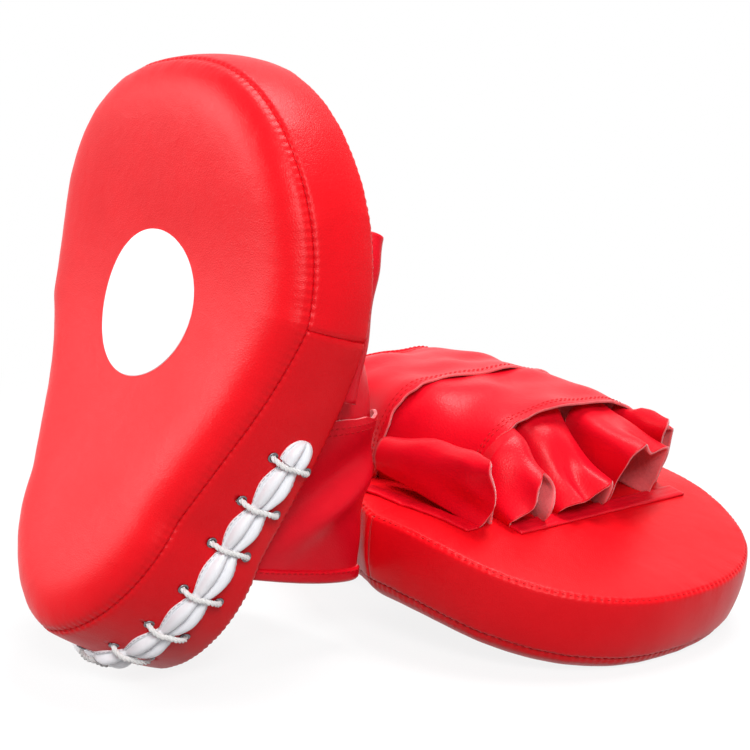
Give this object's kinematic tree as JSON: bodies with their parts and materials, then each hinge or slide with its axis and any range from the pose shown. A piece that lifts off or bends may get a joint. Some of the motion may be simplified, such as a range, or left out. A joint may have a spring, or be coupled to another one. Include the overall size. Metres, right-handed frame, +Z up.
{
  "type": "focus mitt pair",
  "caption": "Pair of curved leather focus mitts with a laced foam pad and a sewn glove on each back, one standing and one lying face down.",
  "frame": {"origin": "centre of the pair's bounding box, on the floor", "axes": "+X along the lying mitt towards its fingertips, +Y from the standing mitt to the lying mitt, +Z up"},
  "size_m": [0.2648, 0.3332, 0.2617],
  "materials": {
    "red_leather": "fine grained, satin coated",
    "glove_leather": "thin, satin coated, suede flesh side",
    "white_vinyl": "smooth white coated",
    "white_cord": "twisted cord",
    "eyelet_metal": "dull nickel",
    "dense_foam": "closed-cell foam",
    "soft_foam": "open-cell foam",
    "backing_board": "stiff felted sheet"
  },
  "bodies": {
    "lying_mitt": {"lying_back_lip": "white_vinyl", "lying_back_of_hand": "glove_leather", "lying_back_panel": "red_leather", "lying_backing_board": "backing_board", "lying_core_foam": "soft_foam", "lying_cuff_hem": "glove_leather", "lying_eyelets": "eyelet_metal", "lying_finger_band": "red_leather", "lying_finger_flange": "glove_leather", "lying_front_lip": "white_vinyl", "lying_index_stall": "glove_leather", "lying_lace": "white_cord", "lying_little_stall": "glove_leather", "lying_middle_stall": "glove_leather", "lying_ring_stall": "glove_leather", "lying_strike_foam": "dense_foam", "lying_striking_face": "red_leather", "lying_target_spot": "white_vinyl", "lying_thumb_flange": "glove_leather", "lying_thumb_stall": "glove_leather", "lying_wrist_band": "red_leather", "lying_wrist_cuff": "glove_leather"},
    "standing_mitt": {"standing_back_lip": "white_vinyl", "standing_back_of_hand": "glove_leather", "standing_back_panel": "red_leather", "standing_backing_board": "backing_board", "standing_core_foam": "soft_foam", "standing_cuff_hem": "glove_leather", "standing_eyelets": "eyelet_metal", "standing_finger_band": "red_leather", "standing_finger_flange": "glove_leather", "standing_front_lip": "white_vinyl", "standing_index_stall": "glove_leather", "standing_lace": "white_cord", "standing_little_stall": "glove_leather", "standing_middle_stall": "glove_leather", "standing_ring_stall": "glove_leather", "standing_strike_foam": "dense_foam", "standing_striking_face": "red_leather", "standing_target_spot": "white_vinyl", "standing_thumb_flange": "glove_leather", "standing_thumb_stall": "glove_leather", "standing_wrist_band": "red_leather", "standing_wrist_cuff": "glove_leather"}
  },
  "joints": [
    {"name": "standing_lift_off", "type": "slide", "parent": "lying_mitt", "child": "standing_mitt", "axis": [0, 0, 1], "range_m": [0, 0.3]}
  ]
}
